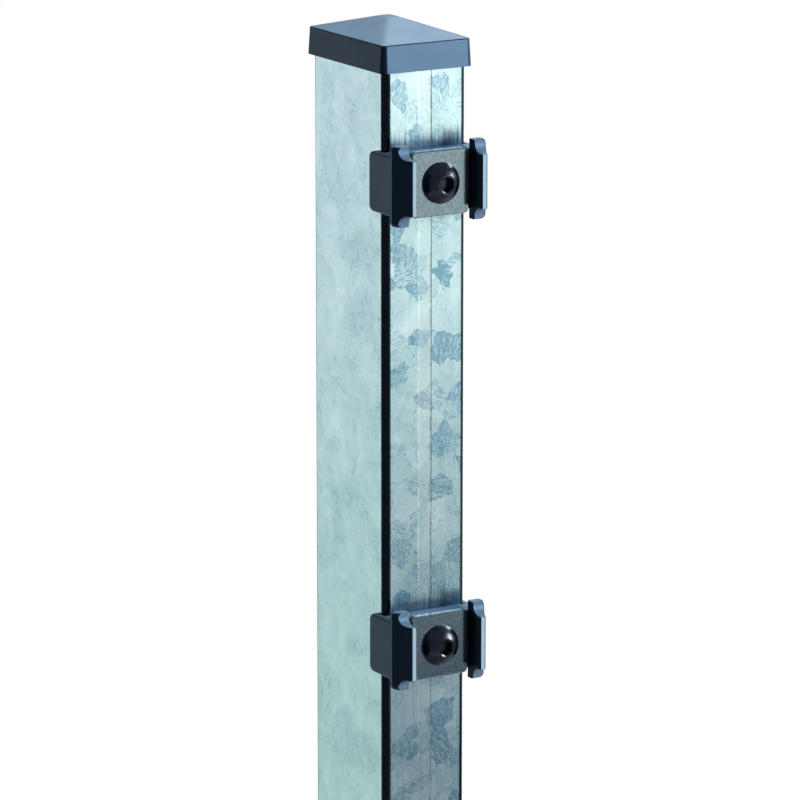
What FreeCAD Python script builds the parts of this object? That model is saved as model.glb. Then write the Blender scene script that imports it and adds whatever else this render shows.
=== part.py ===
"""Steel fence post for double-rod mats: a galvanised tube with a plastic cap and bolted panel clips.

Frame: the origin is the centre of the tube's cut lower end, +Z runs up the post, and the clips sit on
the narrow face that looks along -Y. Lengths are in millimetres.
"""
import FreeCAD, Part
import os
import Sketcher

SIZES = {
    # Post tube: rectangular hollow section, clips on its narrow face.
    "tube_length": 1000,
    "tube_width": 40,
    "tube_depth": 60,
    "tube_wall": 2,
    "tube_corner": 3,
    # Clips: how far the top one sits below the tube's end, and the mat's rod spacing.
    "clip_count": 4,
    "top_clip_drop": 56,
    "rod_pitch": 200,
    # Cap: a drafted slip-over skirt and a low pyramid roof with soft ridges, hollow underneath.
    "cap_clearance": 0.2,
    "cap_wall": 1.8,
    "cap_draft": 0.7,
    "cap_corner": 2.6,
    "cap_grip": 10,
    "cap_shoulder": 1.7,
    "cap_rise": 7,
    "cap_crown": 5,
    "cap_ridge": 9,
    "cap_roof": 1.7,
    "cap_ledge": 1,
    "cap_edge": 0.6,
    # Saddle: wings that straddle the tube and a base in front of it, cored from behind.
    "saddle_clearance": 0.15,
    "wing_thickness": 2.5,
    "wing_reach": 8.5,
    "wing_height": 25.5,
    "wing_corner": 3,
    "wing_edge": 0.9,
    "base_depth": 9.3,
    "core_wall": 2.6,
    "core_corner": 1,
    # Jaws: tall horns behind, a thin tapered wall in front, and a round rod seat at the top and bottom.
    "jaw_gap": 31.4,
    "horn_depth": 3.8,
    "horn_height": 34,
    "horn_corner": 2,
    "jaw_shoulder": 1.3,
    "wall_tip": 2.6,
    "rod_radius": 4,
    "seat_lip": 1.2,
    "wall_nose": 2.6,
    "jaw_edge": 0.45,
    # Clamp plate: a pressed square with rounded corners.
    "plate_width": 28,
    "plate_height": 28,
    "plate_thickness": 3,
    "plate_corner": 2.5,
    "plate_edge": 0.5,
    "hole_clearance": 0.4,
    # Clamp bolt: button head with a hexagon socket.
    "bolt_diameter": 10,
    "bolt_length": 25,
    "bolt_chamfer": 1,
    "head_diameter": 17.5,
    "head_height": 5.5,
    "head_rim": 0.8,
    "head_crown": 8.2,
    "socket_flats": 6,
    "socket_depth": 3.2,
    "socket_mouth": 7.5,
    "socket_dish": 0.5,
    # Rivet nut: flange outside the tube's wall, bulge and threaded sleeve inside it.
    "thread_clearance": 0.1,
    "flange_diameter": 16,
    "flange_thickness": 1.5,
    "flange_clearance": 0.2,
    "sleeve_diameter": 13,
    "sleeve_clearance": 0.05,
    "sleeve_length": 15,
    "bulge_diameter": 17,
    "bulge_length": 4,
}

# Lines that several features share, as expressions of the sheet's cells.
INNER_X = "(Sizes.tube_width / 2 + Sizes.saddle_clearance)"
OUTER_X = f"({INNER_X} + Sizes.wing_thickness)"
HORN_FRONT = "(Sizes.base_depth + Sizes.horn_depth)"
WALL_FRONT = f"({HORN_FRONT} + Sizes.rod_radius + Sizes.wall_nose)"
WALL_TOP = "(Sizes.horn_height / 2 - Sizes.seat_lip - Sizes.rod_radius)"
HEAD_SEAT = "(Sizes.base_depth + Sizes.plate_thickness)"
FLANGE_RECESS = "(Sizes.flange_diameter / 2 + Sizes.flange_clearance)"
LOWEST_CLIP = "Sizes.tube_length - Sizes.top_clip_drop - (Sizes.clip_count - 1) * Sizes.rod_pitch"
CUT_MARGIN = "5"
TOLERANCE = 1e-4

doc = FreeCAD.newDocument("fence_post")
sheet = doc.addObject("Spreadsheet::Sheet", "Sizes")
for row, (alias, size) in enumerate(SIZES.items(), start=1):
    sheet.set(f"A{row}", alias.replace("_", " "))
    sheet.set(f"B{row}", str(size))
    sheet.setAlias(f"B{row}", alias)
doc.recompute()
clip_count = int(sheet.clip_count)


def size_of(expression):
    """The present value of an expression of the sheet's cells."""
    return float(sheet.evalExpression(expression))


def new_body(name):
    body = doc.addObject("PartDesign::Body", name)
    body.Label = name
    return body


def place_on_front_face(body, height):
    """Put a clip piece's own origin on the tube's front face, at a height given as an expression."""
    body.setExpression("Placement.Base.y", "-Sizes.tube_depth / 2")
    body.setExpression("Placement.Base.z", height)


def origin_feature(body, role):
    return next(feature for feature in body.Origin.OriginFeatures if feature.Role == role)


def new_sketch(body, name, plane, offset=None):
    """A sketch on one of the body's origin planes, moved along the plane's normal by an expression."""
    sketch = body.newObject("Sketcher::SketchObject", name)
    sketch.AttachmentSupport = [(origin_feature(body, plane), "")]
    sketch.MapMode = "FlatFace"
    if offset:
        sketch.setExpression("AttachmentOffset.Base.z", offset)
    return sketch


def bind(sketch, kind, references, expression):
    """Add a constraint with a size and tie that size to the sheet."""
    index = sketch.addConstraint(Sketcher.Constraint(kind, *references, size_of(expression)))
    sketch.setExpression(f"Constraints[{index}]", expression)


def pin_point(sketch, point, place):
    """Hold a point of the sketch at (x, y) expressions measured from the sketch's origin."""
    for kind, axis, expression in zip(("DistanceX", "DistanceY"), (-2, -1), place):
        if expression == "0":
            sketch.addConstraint(Sketcher.Constraint("PointOnObject", *point, axis))
        else:
            bind(sketch, kind, (-1, 1, *point), expression)


def draw_outline(sketch, corners, arcs=None):
    """Draw a closed outline through (x, y) expressions.

    arcs maps the index of a corner to the (centre x, centre y, radius) of the arc that leaves it.
    """
    arcs = arcs or {}
    places = [FreeCAD.Vector(size_of(x), size_of(y), 0) for x, y in corners]
    ends = []
    for index, start in enumerate(places):
        finish = places[(index + 1) % len(places)]
        if index not in arcs:
            line = sketch.addGeometry(Part.LineSegment(start, finish))
            ends.append(((line, 1), (line, 2)))
            continue
        centre_x, centre_y, radius = arcs[index]
        centre = FreeCAD.Vector(size_of(centre_x), size_of(centre_y), 0)
        towards = (start + finish) / 2 - centre
        middle = centre + towards.normalize() * size_of(radius)
        arc = sketch.addGeometry(Part.Arc(start, middle, finish))
        forward = sketch.getPoint(arc, 1).distanceToPoint(start) < TOLERANCE
        ends.append(((arc, 1), (arc, 2)) if forward else ((arc, 2), (arc, 1)))
        bind(sketch, "Radius", (arc,), radius)
    for index, (start_point, _) in enumerate(ends):
        previous_end = ends[index - 1][1]
        sketch.addConstraint(Sketcher.Constraint("Coincident", *previous_end, *start_point))
        pin_point(sketch, start_point, corners[index])


def draw_rounded_rectangle(sketch, left, right, low, high, radius):
    """A rectangle between (x, y) expressions with its four corners rounded."""
    corners = [(f"{left} + {radius}", low), (f"{right} - {radius}", low),
               (right, f"{low} + {radius}"), (right, f"{high} - {radius}"),
               (f"{right} - {radius}", high), (f"{left} + {radius}", high),
               (left, f"{high} - {radius}"), (left, f"{low} + {radius}")]
    arcs = {1: (f"{right} - {radius}", f"{low} + {radius}", radius),
            3: (f"{right} - {radius}", f"{high} - {radius}", radius),
            5: (f"{left} + {radius}", f"{high} - {radius}", radius),
            7: (f"{left} + {radius}", f"{low} + {radius}", radius)}
    draw_outline(sketch, corners, arcs)


def draw_centred_rectangle(sketch, half_x, half_y, radius):
    draw_rounded_rectangle(sketch, f"-{half_x}", half_x, f"-{half_y}", half_y, radius)


def draw_circle(sketch, radius):
    """A circle about the sketch's origin."""
    axis_z = FreeCAD.Vector(0, 0, 1)
    circle = sketch.addGeometry(Part.Circle(FreeCAD.Vector(0, 0, 0), axis_z, size_of(radius)))
    sketch.addConstraint(Sketcher.Constraint("Coincident", circle, 3, -1, 1))
    bind(sketch, "Radius", (circle,), radius)


def extrude(body, kind, sketch, name, length, symmetric=False, reverse=False):
    """Pad or pocket a sketch by an expression."""
    feature = body.newObject(f"PartDesign::{kind}", name)
    feature.Profile = sketch
    feature.SideType = "Symmetric" if symmetric else "One side"
    feature.Reversed = reverse
    feature.setExpression("Length", length)
    doc.recompute()
    return feature


def revolve(body, sketch, name):
    """Turn a profile about the sketch's own vertical axis."""
    feature = body.newObject("PartDesign::Revolution", name)
    feature.Profile = sketch
    feature.ReferenceAxis = (sketch, ["V_Axis"])
    doc.recompute()
    return feature


def pattern_up_the_post(body, features):
    """Repeat features at every clip, from the lowest one up."""
    pattern = body.newObject("PartDesign::LinearPattern", f"{body.Name}_pattern")
    pattern.Originals = features
    pattern.Direction = (origin_feature(body, "Z_Axis"), [""])
    pattern.Mode = "Spacing"
    pattern.setExpression("Offset", "Sizes.rod_pitch")
    pattern.setExpression("Occurrences", "Sizes.clip_count")
    body.Tip = pattern
    doc.recompute()


def ease_edges(body, kind, name, size, chosen):
    """Fillet or chamfer the edges of the body's tip whose end points pass the test."""
    base = body.Tip
    names = [f"Edge{index}" for index, edge in enumerate(base.Shape.Edges, start=1)
             if chosen([vertex.Point for vertex in edge.Vertexes])]
    feature = body.newObject(f"PartDesign::{kind}", name)
    feature.Base = (base, names)
    feature.setExpression("Radius" if kind == "Fillet" else "Size", size)
    doc.recompute()


def faces_of(feature, chosen):
    """Names of the feature's faces whose bounding boxes pass the test."""
    return [f"Face{index}" for index, face in enumerate(feature.Shape.Faces, start=1)
            if chosen(face.BoundBox)]


def near(value, expression):
    return abs(value - size_of(expression)) < TOLERANCE


def make_post_tube():
    """Welded rectangular tube, cut square, with one round hole per rivet nut in its front wall."""
    body = new_body("post_tube")
    section = new_sketch(body, "tube_section", "XY_Plane")
    half_x, half_y = "Sizes.tube_width / 2", "Sizes.tube_depth / 2"
    draw_centred_rectangle(section, half_x, half_y, "Sizes.tube_corner")
    draw_centred_rectangle(section, f"({half_x} - Sizes.tube_wall)", f"({half_y} - Sizes.tube_wall)",
                           "(Sizes.tube_corner - Sizes.tube_wall)")
    extrude(body, "Pad", section, "tube_length_pad", "Sizes.tube_length")

    hole = new_sketch(body, "nut_hole", "XZ_Plane")
    hole.setExpression("AttachmentOffset.Base.y", LOWEST_CLIP)
    draw_circle(hole, "Sizes.sleeve_diameter / 2 + Sizes.sleeve_clearance")
    pocket = extrude(body, "Pocket", hole, "nut_hole_pocket", half_y + f" + {CUT_MARGIN}", reverse=True)
    pattern_up_the_post(body, [pocket])
    return body


def make_post_cap():
    """Slip-over cap: drafted skirt, soft pyramid roof, and a ledge that rests on the tube's end."""
    body = new_body("post_cap")
    body.setExpression("Placement.Base.z", "Sizes.tube_length")
    hem_x = "(Sizes.tube_width / 2 + Sizes.cap_clearance + Sizes.cap_wall)"
    hem_y = "(Sizes.tube_depth / 2 + Sizes.cap_clearance + Sizes.cap_wall)"
    roof_top = "(Sizes.cap_shoulder + Sizes.cap_rise)"
    hem = new_sketch(body, "cap_hem", "XY_Plane", "-Sizes.cap_grip")
    draw_centred_rectangle(hem, hem_x, hem_y, "Sizes.cap_corner")
    block = extrude(body, "Pad", hem, "cap_block", f"Sizes.cap_grip + {roof_top}")

    drafted = body.newObject("PartDesign::Draft", "cap_draft")
    drafted.Base = (block, faces_of(block, lambda box: box.ZLength > TOLERANCE))
    drafted.NeutralPlane = (block, faces_of(block, lambda box: near(box.ZMax, "-Sizes.cap_grip")))
    drafted.setExpression("Angle", "atan(Sizes.cap_draft / (Sizes.cap_grip + Sizes.cap_shoulder))")
    doc.recompute()

    crown_x = "(Sizes.cap_crown / 2)"
    crown_y = f"({crown_x} * Sizes.tube_depth / Sizes.tube_width)"
    for plane, hem_edge, crown in (("XZ_Plane", hem_x, crown_x), ("YZ_Plane", hem_y, crown_y)):
        slopes = new_sketch(body, f"cap_slopes_{plane[:2]}", plane)
        eave = f"({hem_edge} - Sizes.cap_draft)"
        for side in ("", "-"):
            draw_outline(slopes, [(f"{side}{crown}", roof_top), (f"{side}{eave}", "Sizes.cap_shoulder"),
                                  (f"{side}({eave} + {CUT_MARGIN})", "Sizes.cap_shoulder"),
                                  (f"{side}({eave} + {CUT_MARGIN})", f"{roof_top} + {CUT_MARGIN}"),
                                  (f"{side}{crown}", f"{roof_top} + {CUT_MARGIN}")])
        extrude(body, "Pocket", slopes, f"cap_roof_{plane[:2]}", f"2 * ({hem_y} + {CUT_MARGIN})",
                symmetric=True)

    eave_height = size_of("Sizes.cap_shoulder") - TOLERANCE

    def on_ridge_or_crown(points):
        heights = [point.z for point in points]
        return near(max(heights), roof_top) and min(heights) > eave_height
    ease_edges(body, "Fillet", "cap_ridges", "Sizes.cap_ridge", on_ridge_or_crown)

    def on_eave(points):
        halfway_up = size_of("Sizes.cap_shoulder + Sizes.cap_rise / 2")
        return all(eave_height < point.z < halfway_up for point in points)
    ease_edges(body, "Fillet", "cap_eaves", "Sizes.cap_edge", on_eave)

    socket = new_sketch(body, "cap_socket", "XY_Plane", "-Sizes.cap_grip")
    draw_centred_rectangle(socket, "(Sizes.tube_width / 2 + Sizes.cap_clearance)",
                           "(Sizes.tube_depth / 2 + Sizes.cap_clearance)",
                           "(Sizes.tube_corner + Sizes.cap_clearance)")
    extrude(body, "Pocket", socket, "cap_socket_pocket", "Sizes.cap_grip", reverse=True)

    # The wedge's own y axis runs up the post and its z axis towards -Y.
    inset = "(Sizes.tube_wall + Sizes.cap_ledge)"
    mouth_x, mouth_y = f"(Sizes.tube_width / 2 - {inset})", f"(Sizes.tube_depth / 2 - {inset})"
    hollow = body.newObject("PartDesign::SubtractiveWedge", "cap_hollow")
    hollow.AttachmentSupport = [(origin_feature(body, "XZ_Plane"), "")]
    hollow.MapMode = "FlatFace"
    hollow.setExpression("Ymin", "0")
    hollow.setExpression("Ymax", f"{roof_top} - Sizes.cap_roof")
    for side, half in (("X", mouth_x), ("Z", mouth_y), ("X2", crown_x), ("Z2", crown_y)):
        hollow.setExpression(f"{side}min", f"-{half}")
        hollow.setExpression(f"{side}max", half)
    doc.recompute()
    return body


def make_panel_saddle(number, height):
    """Moulded clip body: a channel that straddles the tube, and two jaws that seat the mat's rods."""
    body = new_body(f"panel_saddle_{number}")
    place_on_front_face(body, height)

    plan = new_sketch(body, f"channel_plan_{number}", "XY_Plane")
    draw_outline(plan, [(f"-{OUTER_X}", "Sizes.wing_reach"), (f"-{OUTER_X}", "-Sizes.base_depth"),
                        (OUTER_X, "-Sizes.base_depth"), (OUTER_X, "Sizes.wing_reach"),
                        (INNER_X, "Sizes.wing_reach"), (INNER_X, "0"),
                        (f"-{INNER_X}", "0"), (f"-{INNER_X}", "Sizes.wing_reach")])
    extrude(body, "Pad", plan, f"channel_{number}", "Sizes.wing_height", symmetric=True)

    def on_rear_corner(points):
        across = abs(points[0].x - points[-1].x) > TOLERANCE
        return across and all(near(point.y, "Sizes.wing_reach") for point in points)
    ease_edges(body, "Fillet", f"wing_corners_{number}", "Sizes.wing_corner", on_rear_corner)

    def on_wing_outline(points):
        return all(near(abs(point.x), OUTER_X) and point.y > -size_of("Sizes.base_depth") - TOLERANCE
                   for point in points) and abs(points[0].y - points[-1].y) > TOLERANCE
    ease_edges(body, "Fillet", f"wing_edges_{number}", "Sizes.wing_edge", on_wing_outline)

    jaws = new_sketch(body, f"jaw_plan_{number}", "XY_Plane")
    for side in ("-", ""):
        draw_outline(jaws, [(f"{side}Sizes.jaw_gap / 2", "-Sizes.base_depth"),
                            (f"{side}{OUTER_X}", "-Sizes.base_depth"),
                            (f"{side}{OUTER_X}", "-Sizes.base_depth - Sizes.jaw_shoulder"),
                            (f"{side}(Sizes.jaw_gap / 2 + Sizes.wall_tip)", f"-{WALL_FRONT}"),
                            (f"{side}Sizes.jaw_gap / 2", f"-{WALL_FRONT}")])
    extrude(body, "Pad", jaws, f"jaws_{number}", "Sizes.horn_height", symmetric=True)

    def on_horn_corner(points):
        at_tip = all(near(abs(point.z), "Sizes.horn_height / 2") for point in points)
        outside = all(abs(point.x) > size_of("Sizes.jaw_gap / 2") + TOLERANCE for point in points)
        return at_tip and outside and abs(points[0].y - points[-1].y) > TOLERANCE
    ease_edges(body, "Fillet", f"horn_corners_{number}", "Sizes.horn_corner", on_horn_corner)

    seats = new_sketch(body, f"rod_seats_{number}", "YZ_Plane")
    for side in ("", "-"):
        seat_bottom = f"{side}{WALL_TOP}"
        arc_end = f"{side}({WALL_TOP} + Sizes.rod_radius)"
        clear = f"{side}(Sizes.horn_height / 2 + {CUT_MARGIN})"
        ahead = f"-({WALL_FRONT} + {CUT_MARGIN})"
        arc_front = f"-({HORN_FRONT} + Sizes.rod_radius)"
        draw_outline(seats, [(ahead, seat_bottom), (arc_front, seat_bottom), (f"-{HORN_FRONT}", arc_end),
                             (f"-{HORN_FRONT}", clear), (ahead, clear)],
                     {1: (arc_front, arc_end, "Sizes.rod_radius")})
    extrude(body, "Pocket", seats, f"rod_seat_cut_{number}", f"2 * ({OUTER_X} + {CUT_MARGIN})",
            symmetric=True)

    def on_jaw_front(points):
        ahead = all(point.y < TOLERANCE - size_of(HORN_FRONT) for point in points)
        first, last = points[0], points[-1]
        across = abs(first.x - last.x) > TOLERANCE and abs(first.y - last.y) < TOLERANCE
        at_nose = all(near(-point.y, WALL_FRONT) for point in points)
        above_arc = size_of(f"{WALL_TOP} + Sizes.rod_radius") + TOLERANCE
        at_tip = all(abs(point.z) > above_arc for point in points)
        return ahead and (at_nose or at_tip or not across)
    ease_edges(body, "Chamfer", f"jaw_edges_{number}", "Sizes.jaw_edge", on_jaw_front)

    recess = new_sketch(body, f"flange_recess_{number}", "XZ_Plane")
    draw_circle(recess, FLANGE_RECESS)
    extrude(body, "Pocket", recess, f"flange_recess_cut_{number}",
            "Sizes.flange_thickness + Sizes.flange_clearance", reverse=True)
    hole = new_sketch(body, f"bolt_hole_{number}", "XZ_Plane")
    draw_circle(hole, "Sizes.bolt_diameter / 2 + Sizes.hole_clearance")
    extrude(body, "Pocket", hole, f"bolt_hole_cut_{number}", f"Sizes.base_depth + {CUT_MARGIN}",
            reverse=True)

    cores = new_sketch(body, f"cores_{number}", "XZ_Plane")
    near_x = f"({FLANGE_RECESS} + Sizes.core_wall)"
    far_x = f"({INNER_X} - Sizes.core_wall)"
    core_top = "(Sizes.wing_height / 2 - Sizes.core_wall)"
    draw_rounded_rectangle(cores, near_x, far_x, f"-{core_top}", core_top, "Sizes.core_corner")
    draw_rounded_rectangle(cores, f"-{far_x}", f"-{near_x}", f"-{core_top}", core_top, "Sizes.core_corner")
    extrude(body, "Pocket", cores, f"core_cut_{number}", "Sizes.base_depth - Sizes.core_wall", reverse=True)
    return body


def make_clamp_plate(number, height):
    """Pressed square plate that the bolt draws against the saddle's base."""
    body = new_body(f"clamp_plate_{number}")
    place_on_front_face(body, height)
    outline = new_sketch(body, f"plate_outline_{number}", "XZ_Plane", "Sizes.base_depth")
    half_x, half_z = "(Sizes.plate_width / 2)", "(Sizes.plate_height / 2)"
    draw_centred_rectangle(outline, half_x, half_z, "Sizes.plate_corner")
    draw_circle(outline, "Sizes.bolt_diameter / 2 + Sizes.hole_clearance")
    extrude(body, "Pad", outline, f"plate_{number}", "Sizes.plate_thickness")

    def on_front_rim(points):
        hole = size_of("Sizes.bolt_diameter")
        return all(near(-point.y, HEAD_SEAT) and max(abs(point.x), abs(point.z)) > hole for point in points)
    ease_edges(body, "Chamfer", f"plate_rim_{number}", "Sizes.plate_edge", on_front_rim)
    return body


def make_clamp_bolts():
    """Button-head bolts, one per clip: a domed head with a countersunk hexagon socket and a plain shank."""
    body = new_body("clamp_bolts")
    place_on_front_face(body, LOWEST_CLIP)
    crown_y = f"-({HEAD_SEAT} + Sizes.head_height)"
    rim_y = f"-({HEAD_SEAT} + Sizes.head_rim)"
    tip_y = f"(Sizes.bolt_length - {HEAD_SEAT})"
    shank, head = "Sizes.bolt_diameter / 2", "Sizes.head_diameter / 2"
    flat, corner = "Sizes.socket_flats / 2", "Sizes.socket_flats / sqrt(3)"
    dish_y = f"({crown_y} + Sizes.socket_dish)"
    # The dome is a cap of a sphere through the crown's edge and the rim's edge, centred on the bolt's axis.
    rise = "(Sizes.head_height - Sizes.head_rim)"
    spread = "(Sizes.head_diameter^2 / 4 - Sizes.head_crown^2 / 4)"
    centre_y = f"({rim_y} - ({rise}^2 - {spread}) / (2 * {rise}))"
    dome = f"sqrt(Sizes.head_diameter^2 / 4 + ({rim_y} - {centre_y})^2)"
    profile = new_sketch(body, "bolt_profile", "XY_Plane")
    draw_outline(profile, [("0", dish_y), (flat, dish_y), ("Sizes.socket_mouth / 2", crown_y),
                           ("Sizes.head_crown / 2", crown_y), (head, rim_y), (head, f"-{HEAD_SEAT}"),
                           (shank, f"-{HEAD_SEAT}"), (shank, f"{tip_y} - Sizes.bolt_chamfer"),
                           (f"{shank} - Sizes.bolt_chamfer", tip_y), ("0", tip_y)],
                 {3: ("0", centre_y, dome)})
    turned = revolve(body, profile, "bolt_turned")

    socket = new_sketch(body, "bolt_socket", "XZ_Plane", f"{HEAD_SEAT} + Sizes.head_height")
    draw_outline(socket, [("0", f"-{corner}"), (flat, f"-{corner} / 2"), (flat, f"{corner} / 2"),
                          ("0", corner), (f"-{flat}", f"{corner} / 2"), (f"-{flat}", f"-{corner} / 2")])
    cut = extrude(body, "Pocket", socket, "bolt_socket_cut", "Sizes.socket_depth")
    pattern_up_the_post(body, [turned, cut])
    return body


def make_rivet_nuts():
    """Blind rivet nuts, one per clip: flange outside the wall, set bulge and threaded sleeve inside."""
    body = new_body("rivet_nuts")
    place_on_front_face(body, LOWEST_CLIP)
    bore = "Sizes.bolt_diameter / 2 + Sizes.thread_clearance"
    sleeve, flange = "Sizes.sleeve_diameter / 2", "Sizes.flange_diameter / 2"
    bulge_end = "Sizes.tube_wall + Sizes.bulge_length"
    profile = new_sketch(body, "nut_profile", "XY_Plane")
    draw_outline(profile, [(bore, "-Sizes.flange_thickness"), (flange, "-Sizes.flange_thickness"),
                           (flange, "0"), (sleeve, "0"), (sleeve, "Sizes.tube_wall"),
                           ("Sizes.bulge_diameter / 2", "Sizes.tube_wall"), (sleeve, bulge_end),
                           (sleeve, "Sizes.sleeve_length"), (bore, "Sizes.sleeve_length")])
    turned = revolve(body, profile, "nut_turned")
    pattern_up_the_post(body, [turned])
    return body


pieces = [make_post_tube(), make_post_cap()]
for number in range(1, clip_count + 1):
    clip_height = f"Sizes.tube_length - Sizes.top_clip_drop - {number - 1} * Sizes.rod_pitch"
    pieces.append(make_panel_saddle(number, clip_height))
    pieces.append(make_clamp_plate(number, clip_height))
pieces += [make_clamp_bolts(), make_rivet_nuts()]
doc.recompute()

failed = [thing.Name for thing in doc.Objects if {"Invalid", "Error"} & set(thing.State)]
if failed:
    raise RuntimeError(f"objects that failed to build: {failed}")
for piece in pieces:
    if piece.Shape.isNull() or not piece.Shape.isValid():
        raise RuntimeError(f"{piece.Label} has no valid shape")

os.makedirs("parts", exist_ok=True)
for piece in pieces:
    piece.Shape.exportStep(f"parts/{piece.Label}.step")
    box = piece.Shape.BoundBox
    print(f"{piece.Label}: {len(piece.Shape.Solids)} solids, {piece.Shape.Volume / 1000:.2f} cm3, "
          f"{box.XLength:.1f} x {box.YLength:.1f} x {box.ZLength:.1f} mm")
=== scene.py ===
# %% [markdown]
# # A fence post in galvanised steel
#
# This lesson dresses a metal fence post: a rectangular steel tube dipped in zinc, a plastic cap on
# its top, and four plastic saddles that hold the rods of a fence mat, each with a steel plate and a
# bolt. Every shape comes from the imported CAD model, because each of these pieces is hard and its
# form was settled there. So the lesson is about surfaces and light: how zinc crystals, moulded
# plastic, coated plate and blackened bolts look, and which lamps and cards show them.

import math

import bpy
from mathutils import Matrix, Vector


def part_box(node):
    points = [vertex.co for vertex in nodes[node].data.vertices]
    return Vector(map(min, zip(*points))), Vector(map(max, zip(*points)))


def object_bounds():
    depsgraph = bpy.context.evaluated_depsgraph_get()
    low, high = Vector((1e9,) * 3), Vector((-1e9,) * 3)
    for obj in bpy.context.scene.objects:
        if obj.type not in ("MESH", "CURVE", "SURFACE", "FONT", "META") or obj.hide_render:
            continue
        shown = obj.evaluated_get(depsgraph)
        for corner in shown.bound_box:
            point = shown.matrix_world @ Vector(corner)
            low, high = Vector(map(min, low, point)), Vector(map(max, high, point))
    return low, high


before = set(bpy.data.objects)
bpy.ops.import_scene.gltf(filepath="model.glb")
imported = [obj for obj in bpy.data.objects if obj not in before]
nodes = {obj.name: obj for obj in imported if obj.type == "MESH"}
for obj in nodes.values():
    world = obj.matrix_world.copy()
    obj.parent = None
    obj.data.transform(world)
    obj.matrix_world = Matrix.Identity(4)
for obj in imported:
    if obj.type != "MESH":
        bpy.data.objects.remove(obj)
cad_box = [list(corner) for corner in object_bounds()]
print("CAD nodes:", ", ".join(sorted(nodes)))
print("CAD box in metres:", cad_box)

# %% [markdown]
# ## The camera
#
# The post's upright edges run nearly parallel in the picture, which means a long lens from far
# away. The camera stands to the left of the narrow front face and looks down a little. It could be
# placed by trial, but two angles say it better: they give the direction, and stepping back along it
# gives the place.

# %% Place the camera
CAMERA_TURN = math.radians(30.65)
CAMERA_PITCH = math.radians(13.24)
CAMERA_DISTANCE = 2.2
LENS_MM, SENSOR_MM = 231.4, 36
AIM_HEIGHT = 0.8426
AIM_RIGHT = 0.0046

looking = Vector((math.sin(CAMERA_TURN) * math.cos(CAMERA_PITCH),
                  math.cos(CAMERA_TURN) * math.cos(CAMERA_PITCH),
                  -math.sin(CAMERA_PITCH)))
picture_right = Vector((math.cos(CAMERA_TURN), -math.sin(CAMERA_TURN), 0))
aim = Vector((0, 0, AIM_HEIGHT)) + AIM_RIGHT * picture_right

camera = bpy.data.objects.new("camera", bpy.data.cameras.new("camera"))
camera.data.lens = LENS_MM
camera.data.sensor_width = SENSOR_MM
camera.location = aim - CAMERA_DISTANCE * looking
camera.rotation_euler = looking.to_track_quat("-Z", "Y").to_euler()
bpy.context.scene.collection.objects.link(camera)
bpy.context.scene.camera = camera
print("camera at", [round(v, 3) for v in camera.location])

# %% [markdown]
# ## Colours and nodes
#
# Colours are written as the hex values that a paint program shows. Blender calculates light with
# linear numbers, so one function converts them. A second function adds a node with its options, its
# sockets and its links in one call, which keeps each material readable as a list of steps.

# %% Helpers for colours and nodes
WHITE = (1, 1, 1, 1)
# A noise runs from 0 to 1, but hardly ever leaves this range.
NOISE_RANGE = {"From Min": 0.3, "From Max": 0.7}
NOISE_MIDDLE = 0.5


def linear(hex_colour):
    """An sRGB hex colour as linear red, green, blue and alpha."""
    parts = [int(hex_colour[i:i + 2], 16) / 255 for i in (1, 3, 5)]
    return [p / 12.92 if p <= 0.04045 else ((p + 0.055) / 1.055) ** 2.4 for p in parts] + [1]


def add_node(tree, kind, options=None, sockets=None):
    """Adds a node, sets its options, sets or links its sockets. Returns its outputs by name."""
    node = tree.nodes.new(kind)
    for name, value in (options or {}).items():
        setattr(node, name, value)
    inputs = {socket.identifier: socket for socket in node.inputs}
    for name, value in (sockets or {}).items():
        if isinstance(value, bpy.types.NodeSocket):
            tree.links.new(value, inputs[name])
        else:
            inputs[name].default_value = value
    return {socket.identifier: socket for socket in node.outputs}


def new_material(name):
    """An empty node material and its tree."""
    material = bpy.data.materials.new(name)
    material.use_nodes = True
    material.node_tree.nodes.clear()
    return material, material.node_tree


def per_metre(size_mm):
    """The scale of a pattern whose features are this many millimetres across."""
    return 1000 / size_mm


print("middle grey #808080 is", round(linear("#808080")[0], 3), "in linear light")

# %% [markdown]
# ## Hot-dip galvanised steel
#
# The tube was dipped in molten zinc. A metal has no colour of its own under its shine: the base
# colour is the colour of its reflections, a pale blue grey for zinc. To the eye the tube is a soft
# mirror with frosty patches, and its wide faces, narrow faces and bends differ. Separate materials
# for them would need the tube cut up, so one material asks which way each point faces. The plastic
# asks the same later on, so a function keeps the question.

# %% Galvanised steel: which way each point faces
FLAT_BELOW, BENT_ABOVE, BENT_FULLY = 0.005, 0.08, 0.28


def which_way(tree):
    """The normal, its parts, and how bent: 0 on flat sides, a half in the middle of a bend."""
    facing = add_node(tree, "ShaderNodeNewGeometry")["Normal"]
    parts = add_node(tree, "ShaderNodeSeparateXYZ", None, {"Vector": facing})
    both_ways = add_node(tree, "ShaderNodeMath", {"operation": "MULTIPLY"}, {
        "Value": parts["X"], "Value_001": parts["Y"]})["Value"]
    bent = add_node(tree, "ShaderNodeMath", {"operation": "ABSOLUTE"}, {
        "Value": both_ways})["Value"]
    return facing, parts, bent


zinc_material, zinc = new_material("hot_dip_galvanised_steel")
place = add_node(zinc, "ShaderNodeTexCoord")["Object"]
place_parts = add_node(zinc, "ShaderNodeSeparateXYZ", None, {"Vector": place})
facing, facing_parts, bent = which_way(zinc)
# 1 on the two narrow faces, 0 on the two wide ones.
narrow_face = add_node(zinc, "ShaderNodeMath", {"operation": "ABSOLUTE"}, {
    "Value": facing_parts["Y"]})["Value"]
flat_face = add_node(zinc, "ShaderNodeMapRange", None, {
    "Value": bent, "From Min": FLAT_BELOW, "From Max": BENT_ABOVE,
    "To Min": 1, "To Max": 0})["Result"]
print("faces told apart with", len(zinc.nodes), "nodes")

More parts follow.
